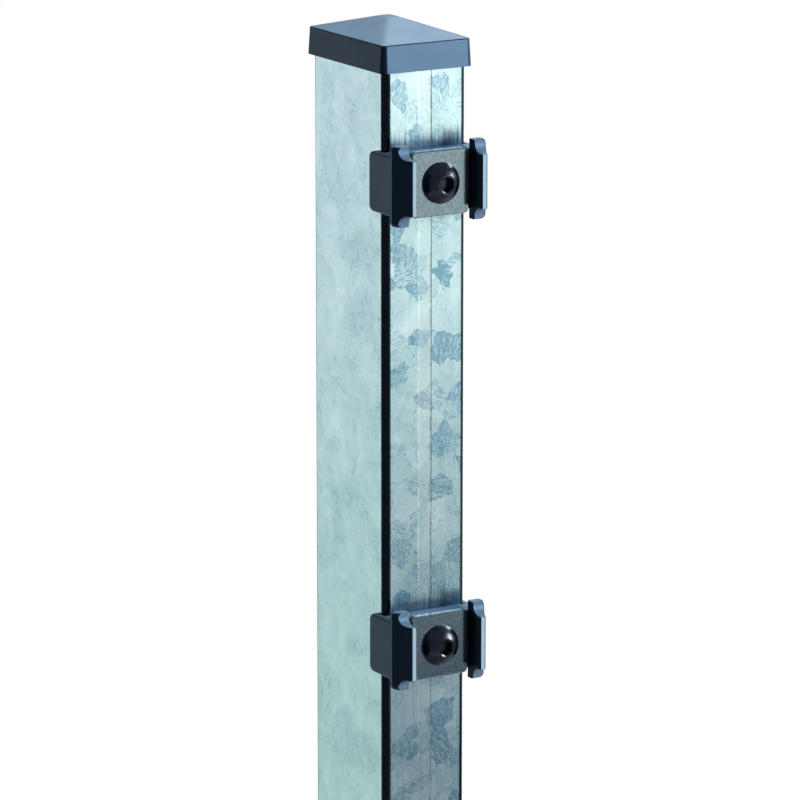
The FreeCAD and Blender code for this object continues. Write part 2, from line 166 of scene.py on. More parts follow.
# %% [markdown]
# ### Crystals
#
# As zinc cools it freezes into flat crystals, called spangle, with ragged edges where they met. A
# picture of crystals would repeat and would have to be fitted to the faces. A cell pattern needs
# neither, and a fine noise added to the place where it is read makes its straight borders ragged.

# %% Galvanised steel: crystals with ragged edges
SPANGLE_MM = 9.5
RAGGED_MM = 3
RAGGED_SHIFT = 0.003
ragged = add_node(zinc, "ShaderNodeTexNoise", None, {
    "Vector": place, "Scale": per_metre(RAGGED_MM), "Detail": 3})
crystal_place = add_node(zinc, "ShaderNodeVectorMath", {"operation": "MULTIPLY_ADD"}, {
    "Vector": ragged["Color"], "Vector_001": (RAGGED_SHIFT,) * 3, "Vector_002": place})["Vector"]
crystal = add_node(zinc, "ShaderNodeTexVoronoi", {"feature": "F1"}, {
    "Vector": crystal_place, "Scale": per_metre(SPANGLE_MM)})
crystal_random = add_node(zinc, "ShaderNodeSeparateColor", None, {"Color": crystal["Color"]})
print("zinc crystals about", SPANGLE_MM, "mm across")

# %% [markdown]
# ### Ribs inside the crystals
#
# A crystal grows in ribs, like frost, and each crystal has its own direction. So a noise that is
# stretched along one axis is turned by each cell's own random angle. The ribs and another random
# number of the cell together say how dark it is, which leaves most crystals pale and a few dark and
# ribbed.

# %% Galvanised steel: ribs inside each crystal
# Real ribs are about 0.2 mm wide: they are drawn coarser here so that they show.
RIB_MM = 0.6
RIB_STRETCH = 0.12
RIB_TONE = 0.25
DARK_ABOVE, DARK_FULLY = 0.64, 1.1
turn = add_node(zinc, "ShaderNodeMath", {"operation": "MULTIPLY"}, {
    "Value": crystal_random["Green"], "Value_001": math.pi})["Value"]
turned = add_node(zinc, "ShaderNodeVectorRotate", {"rotation_type": "AXIS_ANGLE"}, {
    "Vector": crystal_place, "Axis": (0, 1, 0), "Angle": turn})["Vector"]
stretched = add_node(zinc, "ShaderNodeVectorMath", {"operation": "MULTIPLY"}, {
    "Vector": turned, "Vector_001": (1, 1, RIB_STRETCH)})["Vector"]
ribs = add_node(zinc, "ShaderNodeTexNoise", None, {
    "Vector": stretched, "Scale": per_metre(RIB_MM), "Detail": 4, "Roughness": 0.6})["Fac"]
rib_tone = add_node(zinc, "ShaderNodeMapRange", None, {
    "Value": ribs, **NOISE_RANGE, "To Min": -RIB_TONE, "To Max": RIB_TONE})["Result"]
crystal_tone = add_node(zinc, "ShaderNodeMath", {"operation": "ADD"}, {
    "Value": crystal_random["Red"], "Value_001": rib_tone})["Value"]
dark_crystal = add_node(zinc, "ShaderNodeMapRange", {"interpolation_type": "SMOOTHSTEP"}, {
    "Value": crystal_tone, "From Min": DARK_ABOVE, "From Max": DARK_FULLY})["Result"]
print("ribs about", RIB_MM, "mm wide and", round(RIB_MM / RIB_STRETCH), "mm long")

# %% [markdown]
# ### Draw lines
#
# The strip was drawn through rolls before it was dipped, which leaves fine lines along the narrow
# faces. A noise that is stretched along the tube gives them. The wide faces show no lines but a
# fine mottle, for which the noise of the crystals' edges is used again.

# %% Galvanised steel: draw lines and mottle
# Real draw lines are about 0.1 mm wide: they are drawn coarser here so that they show.
LINE_MM = 0.7
LINE_STRETCH = 0.02
line_place = add_node(zinc, "ShaderNodeVectorMath", {"operation": "MULTIPLY"}, {
    "Vector": place, "Vector_001": (1, 1, LINE_STRETCH)})["Vector"]
draw_lines = add_node(zinc, "ShaderNodeTexNoise", None, {
    "Vector": line_place, "Scale": per_metre(LINE_MM), "Detail": 3})["Fac"]
fine_pattern = add_node(zinc, "ShaderNodeMix", {"data_type": "FLOAT"}, {
    "Factor_Float": narrow_face, "A_Float": ragged["Fac"],
    "B_Float": draw_lines})["Result_Float"]
print("draw lines about", LINE_MM, "mm wide")

# %% [markdown]
# ### Clouds and veins
#
# Where the zinc ran off at different speeds, the faces are cloudy, and thin dark curls lie in the
# clouds. A broad noise gives the clouds. A curl is a contour line: the place where a twisted noise
# passes its middle value. Drawing curves one by one would be slower and would look drawn.

# %% Galvanised steel: clouds and veins
CLOUD_MM = 22
VEIN_MM = 12
VEIN_WIDTH = 0.025
VEIN_STRENGTH = 0.45
VEINS_ABOVE, VEINS_FULLY = 0.4, 0.6
cloud = add_node(zinc, "ShaderNodeTexNoise", None, {
    "Vector": place, "Scale": per_metre(CLOUD_MM), "Detail": 6, "Roughness": 0.6,
    "Distortion": 0.6})["Fac"]
twisted = add_node(zinc, "ShaderNodeTexNoise", None, {
    "Vector": place, "Scale": per_metre(VEIN_MM), "Detail": 3, "Distortion": 1.6})["Fac"]
off_middle = add_node(zinc, "ShaderNodeMath", {"operation": "SUBTRACT"}, {
    "Value": twisted, "Value_001": NOISE_MIDDLE})["Value"]
off_middle = add_node(zinc, "ShaderNodeMath", {"operation": "ABSOLUTE"}, {
    "Value": off_middle})["Value"]
contour = add_node(zinc, "ShaderNodeMapRange", {"interpolation_type": "SMOOTHSTEP"}, {
    "Value": off_middle, "From Min": 0, "From Max": VEIN_WIDTH,
    "To Min": 1, "To Max": 0})["Result"]
in_cloud = add_node(zinc, "ShaderNodeMapRange", {"interpolation_type": "SMOOTHSTEP"}, {
    "Value": cloud, "From Min": VEINS_ABOVE, "From Max": VEINS_FULLY,
    "To Min": 0, "To Max": VEIN_STRENGTH})["Result"]
vein = add_node(zinc, "ShaderNodeMath", {"operation": "MULTIPLY"}, {
    "Value": contour, "Value_001": in_cloud})["Value"]
print("clouds about", CLOUD_MM, "mm and veins about", VEIN_MM, "mm across")

# %% [markdown]
# ### The weld seam
#
# The tube is rolled from strip and welded along the middle of the front face. The weld bead is
# scraped off, which leaves a shallow flat about 6 mm wide. It is a tenth of a millimetre deep, too
# little for a shape of its own, so a distance from the seam's middle makes a mask, and the mask is
# used as a height.

# %% Galvanised steel: the weld seam
SEAM_MIDDLE = -0.0002
SEAM_HALF_WIDTH = 0.0031
SEAM_SOFTNESS = 0.0003
FRONT_BELOW, FRONT_FULLY = -0.9, -0.99
on_front = add_node(zinc, "ShaderNodeMapRange", None, {
    "Value": facing_parts["Y"], "From Min": FRONT_BELOW, "From Max": FRONT_FULLY})["Result"]
off_seam = add_node(zinc, "ShaderNodeMath", {"operation": "SUBTRACT"}, {
    "Value": place_parts["X"], "Value_001": SEAM_MIDDLE})["Value"]
from_seam = add_node(zinc, "ShaderNodeMath", {"operation": "ABSOLUTE"}, {
    "Value": off_seam})["Value"]
in_seam = add_node(zinc, "ShaderNodeMapRange", {"interpolation_type": "SMOOTHSTEP"}, {
    "Value": from_seam, "From Min": SEAM_HALF_WIDTH - SEAM_SOFTNESS,
    "From Max": SEAM_HALF_WIDTH + SEAM_SOFTNESS, "To Min": 1, "To Max": 0})["Result"]
seam = add_node(zinc, "ShaderNodeMath", {"operation": "MULTIPLY"}, {
    "Value": in_seam, "Value_001": on_front})["Value"]
seam_height = add_node(zinc, "ShaderNodeMath", {"operation": "SUBTRACT"}, {
    "Value": 1, "Value_001": seam})["Value"]
print("weld seam", round(2000 * SEAM_HALF_WIDTH, 1), "mm wide")

# %% [markdown]
# ### The seam's two edges
#
# The scraper left a burr along the seam's left edge and a chatter of small dents along its right
# edge. The burr's bright line is a painted highlight, and the dents are painted darker as painted
# shade. Each is a narrow stripe, and one noise breaks both stripes into dashes.

# %% Galvanised steel: painted shade in the dents, painted highlight on the burr
CHATTER_MM = 2.2
DASHES_ABOVE, DASHES_FULLY = 0.42, 0.6
DENT_SHADE_INSET = 0.0004
DENT_SHADE_HALF_WIDTH = 0.0003
BURR_HIGHLIGHT_HALF_WIDTH = 0.00022
chatter = add_node(zinc, "ShaderNodeTexNoise", None, {
    "Vector": place, "Scale": per_metre(CHATTER_MM), "Detail": 1})["Fac"]
dashes = add_node(zinc, "ShaderNodeMapRange", {"interpolation_type": "SMOOTHSTEP"}, {
    "Value": chatter, "From Min": DASHES_ABOVE, "From Max": DASHES_FULLY})["Result"]
dashes = add_node(zinc, "ShaderNodeMath", {"operation": "MULTIPLY"}, {
    "Value": dashes, "Value_001": on_front})["Value"]
edges = {}
for edge, middle, half_width in (("dent_shade", SEAM_HALF_WIDTH - DENT_SHADE_INSET, DENT_SHADE_HALF_WIDTH),
                                 ("burr_highlight", -SEAM_HALF_WIDTH, BURR_HIGHLIGHT_HALF_WIDTH)):
    stripe = add_node(zinc, "ShaderNodeMath", {"operation": "COMPARE"}, {
        "Value": off_seam, "Value_001": middle, "Value_002": half_width})["Value"]
    edges[edge] = add_node(zinc, "ShaderNodeMath", {"operation": "MULTIPLY"}, {
        "Value": stripe, "Value_001": dashes})["Value"]
print("seam edges:", ", ".join(edges))

# %% [markdown]
# ### Painted shade above the saddles
#
# The zinc just above each saddle is painted dark blue grey for about the width of a finger: painted
# shade, with the saddle's dark reflection in it. It could be painted by hand on a picture, but the
# saddles' own boxes say where it belongs. The draw lines shift its upper end, so that it runs out
# in streaks.

# %% Galvanised steel: painted shade above each saddle
SADDLE_HALF_HEIGHT = 0.0118
SHADE_HEIGHT = 0.012
SHADE_STREAKS = 0.012
streaked_height = add_node(zinc, "ShaderNodeMath", {"operation": "MULTIPLY_ADD"}, {
    "Value": draw_lines, "Value_001": SHADE_STREAKS, "Value_002": place_parts["Z"]})["Value"]
shaded = 0
for name in sorted(nodes):
    if name.startswith("panel_saddle"):
        lowest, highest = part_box(name)
        saddle_middle = (lowest.z + highest.z) / 2
        saddle_top = saddle_middle + SADDLE_HALF_HEIGHT + SHADE_STREAKS / 2
        fading = add_node(zinc, "ShaderNodeMapRange", {"interpolation_type": "SMOOTHSTEP"}, {
            "Value": streaked_height, "From Min": saddle_top,
            "From Max": saddle_top + SHADE_HEIGHT, "To Min": 1, "To Max": 0})["Result"]
        above = add_node(zinc, "ShaderNodeMath", {"operation": "GREATER_THAN"}, {
            "Value": place_parts["Z"], "Value_001": saddle_middle})["Value"]
        shaded = add_node(zinc, "ShaderNodeMath", {"operation": "MULTIPLY_ADD"}, {
            "Value": fading, "Value_001": above, "Value_002": shaded})["Value"]
        print("dull zinc above", round(saddle_middle, 3), "m")
shaded = add_node(zinc, "ShaderNodeMath", {"operation": "MULTIPLY"}, {
    "Value": shaded, "Value_001": on_front})["Value"]

# %% [markdown]
# ### The zinc's colour
#
# The clouds mix two pale tones. Veins, dark crystals, the seam with its edges and the painted shade
# above the saddles are laid over them one after another, each with its own share. Crystals show
# most on the narrow faces, where their dark shares are partly painted reflection. Last comes a
# painted reflection: a dark line down each bend, where the rounded corners mirror the dark room.

# %% Galvanised steel: colour
SEAM_SHARE = 0.35
# Partly painted reflection: the dark crystals are painted much stronger on the narrow faces, where
# tilted crystals mirror the dark parts of the room; on the wide faces they are the zinc's own faint
# mottle.
WIDE_FACE_CRYSTALS, NARROW_FACE_CRYSTALS = 0.08, 0.85
crystal_and_reflection_strength = add_node(zinc, "ShaderNodeMapRange", None, {
    "Value": narrow_face, "To Min": WIDE_FACE_CRYSTALS, "To Max": NARROW_FACE_CRYSTALS})["Result"]
crystal_and_reflection_share = add_node(zinc, "ShaderNodeMath", {"operation": "MULTIPLY"}, {
    "Value": crystal_and_reflection_strength, "Value_001": dark_crystal})["Value"]
seam_share = add_node(zinc, "ShaderNodeMath", {"operation": "MULTIPLY"}, {
    "Value": seam, "Value_001": SEAM_SHARE})["Value"]
# Painted reflection: the bends are painted nearly black for the dark room that they mirror.
painted_dark_bend = add_node(zinc, "ShaderNodeMapRange", {"interpolation_type": "SMOOTHSTEP"}, {
    "Value": bent, "From Min": BENT_ABOVE, "From Max": BENT_FULLY})["Result"]
cloud_share = add_node(zinc, "ShaderNodeMapRange", None, {
    "Value": cloud, **NOISE_RANGE})["Result"]
zinc_colour = add_node(zinc, "ShaderNodeMix", {"data_type": "RGBA"}, {
    "Factor_Float": cloud_share, "A_Color": linear("#D6E8E9"),
    "B_Color": linear("#B2D0D3")})["Result_Color"]
# Painted light among these layers: the dark crystals in part, the dents' shade, the burr's
# highlight, the shade above the saddles and the dark bends.
layers = ((vein, "#8AA5A5"), (crystal_and_reflection_share, "#6293AE"), (seam_share, "#D2E0DC"),
          (edges["dent_shade"], "#9DB2BC"), (edges["burr_highlight"], "#DDE9E9"), (shaded, "#4A7090"),
          (painted_dark_bend, "#1C2026"))
for share, hex_colour in layers:
    zinc_colour = add_node(zinc, "ShaderNodeMix", {"data_type": "RGBA"}, {
        "Factor_Float": share, "A_Color": zinc_colour,
        "B_Color": linear(hex_colour)})["Result_Color"]
print("zinc colour in", len(layers) + 1, "layers")

# %% [markdown]
# ### The zinc's gloss
#
# Each crystal faces a slightly different way, so each mirrors a different part of the room. Tilting
# the normal a little, cell by cell, makes crystals light up and go dark as the view turns, which
# paint alone can't do. The seam, the fine pattern and the ribs are too shallow to model, so they
# are bumps.

# %% Galvanised steel: gloss, tilt and bumps
TILT = 0.01
FACE_SMOOTH, FACE_ROUGH = 0.22, 0.27
BEND_ROUGHNESS = 0.13
face_gloss = add_node(zinc, "ShaderNodeMapRange", None, {
    "Value": fine_pattern, **NOISE_RANGE, "To Min": FACE_SMOOTH, "To Max": FACE_ROUGH})["Result"]
zinc_gloss = add_node(zinc, "ShaderNodeMix", {"data_type": "FLOAT"}, {
    "Factor_Float": flat_face, "A_Float": BEND_ROUGHNESS, "B_Float": face_gloss})["Result_Float"]
tilt = add_node(zinc, "ShaderNodeVectorMath", {"operation": "MULTIPLY_ADD"}, {
    "Vector": crystal["Color"], "Vector_001": (2 * TILT,) * 3,
    "Vector_002": (-TILT,) * 3})["Vector"]
tilt = add_node(zinc, "ShaderNodeVectorMath", {"operation": "SCALE"}, {
    "Vector": tilt, "Scale": flat_face})["Vector"]
zinc_skin = add_node(zinc, "ShaderNodeVectorMath", {"operation": "ADD"}, {
    "Vector": facing, "Vector_001": tilt})["Vector"]
zinc_skin = add_node(zinc, "ShaderNodeVectorMath", {"operation": "NORMALIZE"}, {
    "Vector": zinc_skin})["Vector"]
# Each bump has a pattern, a strength and a depth in metres.
bumps = ((seam_height, 0.5, 0.0001), (fine_pattern, 0.03, 0.0002), (ribs, 0.08, 0.0003))
for height, strength, depth in bumps:
    zinc_skin = add_node(zinc, "ShaderNodeBump", None, {
        "Strength": strength, "Distance": depth, "Height": height,
        "Normal": zinc_skin})["Normal"]
zinc_surface = add_node(zinc, "ShaderNodeBsdfPrincipled", None, {
    "Base Color": zinc_colour, "Metallic": 1, "Roughness": zinc_gloss, "Normal": zinc_skin})
add_node(zinc, "ShaderNodeOutputMaterial", None, {"Surface": zinc_surface["BSDF"]})
print(zinc_material.name, "has", len(zinc.nodes), "nodes")

# %% [markdown]
# ## Injection-moulded plastic
#
# The saddles are injection-moulded polyamide, stiff enough to clamp, and the cap is polyethylene,
# soft enough to push on. Both are coloured through with a slate pigment. The steel mould is
# spark-eroded to a fine grain, so to the eye the plastic is satin: no pattern of colour, but a soft
# and slightly uneven shine. One function makes both, because they differ only in their numbers.

# %% Plastic: grain and flow
# A spark-eroded grain is about 0.05 mm: it is drawn coarser here so that it shows.
GRAIN_MM = 0.5
FLOW_MM = 15


def grain_and_flow(tree, place):
    """The mould's grain and the slow streaks that the melt left as it flowed."""
    grain = add_node(tree, "ShaderNodeTexNoise", None, {
        "Vector": place, "Scale": per_metre(GRAIN_MM), "Detail": 2})["Fac"]
    flow = add_node(tree, "ShaderNodeTexNoise", None, {
        "Vector": place, "Scale": per_metre(FLOW_MM), "Detail": 3})["Fac"]
    return grain, flow


print("plastic grain", GRAIN_MM, "mm and flow", FLOW_MM, "mm")

# %% [markdown]
# ### Painted shade on the plastic
#
# The rounded upright corners, the slopes that lead a rod in, the cap's eaves and the jaws' inner
# flanks beside the clamp plate are painted nearly black: painted shade and dark reflections, for
# the light that these places turn away from and the dark room that they mirror. They could get a
# material of their own if the pieces were cut up. Asking which way a point faces needs no cutting:
# on upright bends and slopes it faces half sideways, on the cap's eaves half upwards, and the
# flanks are the sideways faces nearest the middle.

# %% Plastic: painted shade
SHADE_BEND_ABOVE, SHADE_BEND_FULLY = 0.03, 0.16
EAVE_SLOPE = 0.5
EAVE_RANGE = 0.35
# No point faces upwards by more than 1, so this slope finds no eaves.
NO_EAVE = 2
FLANK_FACING = 0.9
FLANK_REACH = 0.016


def painted_shade_places(tree, place, eave_slope):
    """Where shade is painted: 1 on upright bends, on eaves and on the jaws' flanks, 0 on other
    faces.
    """
    _, facing_parts, bent = which_way(tree)
    bend = add_node(tree, "ShaderNodeMapRange", {"interpolation_type": "SMOOTHSTEP"}, {
        "Value": bent, "From Min": SHADE_BEND_ABOVE, "From Max": SHADE_BEND_FULLY})["Result"]
    eave = add_node(tree, "ShaderNodeMath", {"operation": "COMPARE"}, {
        "Value": facing_parts["Z"], "Value_001": eave_slope, "Value_002": EAVE_RANGE})["Value"]
    sideways = add_node(tree, "ShaderNodeMath", {"operation": "ABSOLUTE"}, {
        "Value": facing_parts["X"]})["Value"]
    sideways = add_node(tree, "ShaderNodeMath", {"operation": "GREATER_THAN"}, {
        "Value": sideways, "Value_001": FLANK_FACING})["Value"]
    across = add_node(tree, "ShaderNodeSeparateXYZ", None, {"Vector": place})["X"]
    near_middle = add_node(tree, "ShaderNodeMath", {"operation": "COMPARE"}, {
        "Value": across, "Value_001": 0, "Value_002": FLANK_REACH})["Value"]
    flank = add_node(tree, "ShaderNodeMath", {"operation": "MULTIPLY"}, {
        "Value": sideways, "Value_001": near_middle})["Value"]
    shade_on_bends_and_eaves = add_node(tree, "ShaderNodeMath", {"operation": "MAXIMUM"}, {
        "Value": bend, "Value_001": eave})["Value"]
    return add_node(tree, "ShaderNodeMath", {"operation": "MAXIMUM"}, {
        "Value": shade_on_bends_and_eaves, "Value_001": flank})["Value"]


print("eaves face upwards by", round(EAVE_SLOPE - EAVE_RANGE, 2), "to",
      round(EAVE_SLOPE + EAVE_RANGE, 2))

# %% [markdown]
# ### Painted highlight on the noses
#
# The noses of the saddles' jaws face the front and catch the light, so their pigment is painted
# paler: a painted highlight. The noses are the foremost places of the whole part, so the front of
# its box says where they are.

# %% Plastic: painted highlight on the noses
NOSE_FRONT = cad_box[0][1]
NOSE_DEPTH = 0.0006


def nose_highlight(tree, place):
    """Where a highlight is painted: 1 on the front of the jaws' noses, 0 behind them."""
    forward = add_node(tree, "ShaderNodeSeparateXYZ", None, {"Vector": place})["Y"]
    return add_node(tree, "ShaderNodeMapRange", None, {
        "Value": forward, "From Min": NOSE_FRONT + NOSE_DEPTH, "From Max": NOSE_FRONT})["Result"]


print("noses from", round(NOSE_FRONT, 4), "m back to", round(NOSE_FRONT + NOSE_DEPTH, 4), "m")

# %% [markdown]
# ### Saddles and cap
#
# The pigment is laid first, then the painted highlight and the painted shade over it. The plastic
# reflects a little less than a smooth one, because the grain breaks its shine up, and its
# reflections are painted blue, standing in for a cool blue light.

# %% Plastic
SLATE_DARK, SLATE_PALE = "#566C82", "#5F768D"
# A pale painted highlight for the noses and a near black painted shade.
NOSE_HIGHLIGHT, PAINTED_SHADE = "#96B2C4", "#161C26"
# The blue tint is painted light: it gives the plastic's reflections the colour of a cool blue
# light.
SHEEN, COOL_LIGHT_TINT = 0.32, "#78BCFF"
GRAIN_STRENGTH, GRAIN_DEPTH = 0.15, 0.0001


def moulded_plastic(name, ior, smooth, rough, eave_slope):
    """Plastic coloured through, grained, with painted shade and a painted highlight on the noses.
    """
    material, tree = new_material(name)
    place = add_node(tree, "ShaderNodeTexCoord")["Object"]
    grain, flow = grain_and_flow(tree, place)
    colour = add_node(tree, "ShaderNodeMix", {"data_type": "RGBA"}, {
        "Factor_Float": flow, "A_Color": linear(SLATE_DARK),
        "B_Color": linear(SLATE_PALE)})["Result_Color"]
    # A painted highlight on the noses, then painted shade on bends, slopes, eaves and flanks.
    for share, hex_colour in ((nose_highlight(tree, place), NOSE_HIGHLIGHT),
                              (painted_shade_places(tree, place, eave_slope), PAINTED_SHADE)):
        colour = add_node(tree, "ShaderNodeMix", {"data_type": "RGBA"}, {
            "Factor_Float": share, "A_Color": colour,
            "B_Color": linear(hex_colour)})["Result_Color"]
    gloss = add_node(tree, "ShaderNodeMapRange", None, {
        "Value": flow, **NOISE_RANGE, "To Min": smooth, "To Max": rough})["Result"]
    skin = add_node(tree, "ShaderNodeBump", None, {
        "Strength": GRAIN_STRENGTH, "Distance": GRAIN_DEPTH, "Height": grain})["Normal"]
    surface = add_node(tree, "ShaderNodeBsdfPrincipled", None, {
        "Base Color": colour, "Roughness": gloss, "IOR": ior, "Specular IOR Level": SHEEN,
        "Specular Tint": linear(COOL_LIGHT_TINT), "Normal": skin})
    add_node(tree, "ShaderNodeOutputMaterial", None, {"Surface": surface["BSDF"]})
    print(name, "made")
    return material


saddle_material = moulded_plastic("moulded_slate_polyamide", ior=1.53, smooth=0.34, rough=0.42,
                                  eave_slope=NO_EAVE)
cap_material = moulded_plastic("moulded_slate_polyethylene", ior=1.51, smooth=0.36, rough=0.46,
                               eave_slope=EAVE_SLOPE)

# %% [markdown]
# ## Zinc-flake coated plate
#
# The clamp plates are pressed from sheet and dipped in a paint full of tiny zinc flakes, which
# cures to an even, fine-grained grey. To the eye it is a dim mirror: it shows the jaw beside it as
# a soft dark band. A matt paint would show no band, so it is a metal with a middle grey colour.

# %% Plate
# Real flakes are a few hundredths of a millimetre: they are drawn coarser here so that they show.
FLAKE_MM = 0.7
FLAKE_STRENGTH, FLAKE_DEPTH = 0.2, 0.0001
FLAKES_ABOVE, FLAKES_FULLY = 0.2, 0.8
PLATE_SMOOTH, PLATE_ROUGH = 0.1, 0.16
plate_material, plate = new_material("zinc_flake_coated_plate")
place = add_node(plate, "ShaderNodeTexCoord")["Object"]
flake = add_node(plate, "ShaderNodeTexNoise", None, {
    "Vector": place, "Scale": per_metre(FLAKE_MM), "Detail": 3})["Fac"]
plate_gloss = add_node(plate, "ShaderNodeMapRange", None, {
    "Value": flake, **NOISE_RANGE, "To Min": PLATE_SMOOTH, "To Max": PLATE_ROUGH})["Result"]
plate_skin = add_node(plate, "ShaderNodeBump", None, {
    "Strength": FLAKE_STRENGTH, "Distance": FLAKE_DEPTH, "Height": flake})["Normal"]
flake_share = add_node(plate, "ShaderNodeMapRange", None, {
    "Value": flake, "From Min": FLAKES_ABOVE, "From Max": FLAKES_FULLY})["Result"]
plate_colour = add_node(plate, "ShaderNodeMix", {"data_type": "RGBA"}, {
    "Factor_Float": flake_share, "A_Color": linear("#6C7A80"),
    "B_Color": linear("#A2B0B5")})["Result_Color"]
plate_surface = add_node(plate, "ShaderNodeBsdfPrincipled", None, {
    "Base Color": plate_colour, "Metallic": 1, "Roughness": plate_gloss, "Normal": plate_skin})
add_node(plate, "ShaderNodeOutputMaterial", None, {"Surface": plate_surface["BSDF"]})
print(plate_material.name, "has flakes", FLAKE_MM, "mm across")

# %% [markdown]
# ## Black oxide bolt
#
# The bolts are blackened in a hot salt bath and oiled. The oxide is thin, so the steel still shines
# through it, very dark: to the eye a highlight is white and everything else nearly black. A black
# paint would hide the metal, so this is a metal with a dark colour and a blotchy gloss.

# %% Bolt
def blotched_metal(name, blotch_mm, detail, dark_hex, pale_hex, smooth, rough):
    """Steel with a thin coat whose tone and gloss follow one noise."""
    material, tree = new_material(name)
    place = add_node(tree, "ShaderNodeTexCoord")["Object"]
    blotch = add_node(tree, "ShaderNodeTexNoise", None, {
        "Vector": place, "Scale": per_metre(blotch_mm), "Detail": detail})["Fac"]
    gloss = add_node(tree, "ShaderNodeMapRange", None, {
        "Value": blotch, **NOISE_RANGE, "To Min": smooth, "To Max": rough})["Result"]
    colour = add_node(tree, "ShaderNodeMix", {"data_type": "RGBA"}, {
        "Factor_Float": blotch, "A_Color": linear(dark_hex),
        "B_Color": linear(pale_hex)})["Result_Color"]
    surface = add_node(tree, "ShaderNodeBsdfPrincipled", None, {
        "Base Color": colour, "Metallic": 1, "Roughness": gloss})
    add_node(tree, "ShaderNodeOutputMaterial", None, {"Surface": surface["BSDF"]})
    print(name, "has blotches", blotch_mm, "mm across")
    return material


bolt_material = blotched_metal("black_oxide_steel_bolt", blotch_mm=2.5, detail=4,
                               dark_hex="#2A2D34", pale_hex="#393D47", smooth=0.24, rough=0.32)

# %% [markdown]
# ## Zinc-plated nut
#
# The rivet nuts sit inside the tube and show only through its open lower end. They are
# electroplated, which to the eye is a thin, bright and even zinc, smoother than the dipped tube.

# %% Nut
nut_material = blotched_metal("zinc_plated_steel_nut", blotch_mm=2, detail=3,
                              dark_hex="#B4BBBE", pale_hex="#CDD3D2", smooth=0.25, rough=0.4)

# %% [markdown]
# ## Dressing the pieces
#
# Each CAD piece keeps its shape and place, and only its material slot changes. The pieces' names
# start with what they are, so one small table dresses them all.

# %% Dress the CAD pieces
finishes = {"post_tube": zinc_material, "post_cap": cap_material, "panel_saddle": saddle_material,
            "clamp_plate": plate_material, "clamp_bolts": bolt_material,
            "rivet_nuts": nut_material}
for name, node in nodes.items():
    finish = next(finish for start, finish in finishes.items() if name.startswith(start))
    node.data.materials.clear()
    node.data.materials.append(finish)
    print(name, "wears", finish.name)

# %% [markdown]
# ## The white room
#
# The background is plain white for the camera and for reflections. For the light that matt surfaces
# gather, the room is dim, so that the lamps give the plastic its light and dark sides. One Light
# Path node tells these rays apart, and a helper keeps its use, because the floor asks the same
# question.

# %% World
DIM_ROOM = 0.03


def seen_directly(tree):
    """1 for rays from the camera, a mirror or a glass, 0 for light that matt surfaces gather."""
    ray = add_node(tree, "ShaderNodeLightPath")
    seen = ray["Is Camera Ray"]
    for kind in ("Is Glossy Ray", "Is Transmission Ray"):
        seen = add_node(tree, "ShaderNodeMath", {"operation": "MAXIMUM"}, {
            "Value": seen, "Value_001": ray[kind]})["Value"]
    return seen


world = bpy.data.worlds.new("white_room")
bpy.context.scene.world = world
world.use_nodes = True
room = world.node_tree
room.nodes.clear()
brightness = add_node(room, "ShaderNodeMapRange", None, {
    "Value": seen_directly(room), "To Min": DIM_ROOM, "To Max": 1})["Result"]
white = add_node(room, "ShaderNodeBackground", None, {"Color": WHITE, "Strength": brightness})
add_node(room, "ShaderNodeOutputWorld", None, {"Surface": white["Background"]})
print("white room, with", DIM_ROOM, "of its light on matt surfaces")

# %% [markdown]
# ## The floor
#
# A round sheet of pale paper under the post takes its shadow. A hard edge would show in the white
# room, so the paper fades into white towards its rim.

# %% Floor
FLOOR_RADIUS = 1.3
FLOOR_CORNERS = 96
FADE_START = 0.25
bpy.ops.mesh.primitive_circle_add(vertices=FLOOR_CORNERS, radius=FLOOR_RADIUS, fill_type="NGON")
floor = bpy.context.object
floor.name = "floor"
floor_material, paper = new_material("pale_paper_floor")
place = add_node(paper, "ShaderNodeTexCoord")["Object"]
from_post = add_node(paper, "ShaderNodeVectorMath", {"operation": "LENGTH"}, {
    "Vector": place})["Value"]
fade = add_node(paper, "ShaderNodeMapRange", {"interpolation_type": "SMOOTHSTEP"}, {
    "Value": from_post, "From Min": FADE_START, "From Max": FLOOR_RADIUS})["Result"]
whitened = add_node(paper, "ShaderNodeMath", {"operation": "MULTIPLY"}, {
    "Value": fade, "Value_001": seen_directly(paper)})["Value"]
matt = add_node(paper, "ShaderNodeBsdfDiffuse", None, {"Color": linear("#BCC0C1")})
glow = add_node(paper, "ShaderNodeEmission", None, {"Color": WHITE, "Strength": 1})
paper_surface = add_node(paper, "ShaderNodeMixShader", None, {
    "Fac": whitened, "Shader": matt["BSDF"], "Shader_001": glow["Emission"]})
add_node(paper, "ShaderNodeOutputMaterial", None, {"Surface": paper_surface["Shader"]})
floor.data.materials.append(floor_material)
print("floor", 2 * FLOOR_RADIUS, "m across")

# %% [markdown]
# ## Softboxes
#
# The main light stands half right, so that front and right faces are lit alike and faces that turn
# left stay dark. One behind lights the cap's roof. A small one further right gives the bolts their
# highlight: it is seen in reflections only, because as a lamp it would bleach the right side.

# %% Softboxes
def softbox(name, location, towards, width, height, watts):
    """A rectangular lamp that points at a place."""
    lamp = bpy.data.lights.new(name, "AREA")
    lamp.shape = "RECTANGLE"
    lamp.size, lamp.size_y, lamp.energy = width, height, watts
    holder = bpy.data.objects.new(name, lamp)
    holder.location = location
    pointing = Vector(towards) - Vector(location)
    holder.rotation_euler = pointing.to_track_quat("-Z", "Y").to_euler()
    bpy.context.scene.collection.objects.link(holder)
    print(name, watts, "W,", round(watts / (math.pi * width * height), 1), "bright")
    return holder


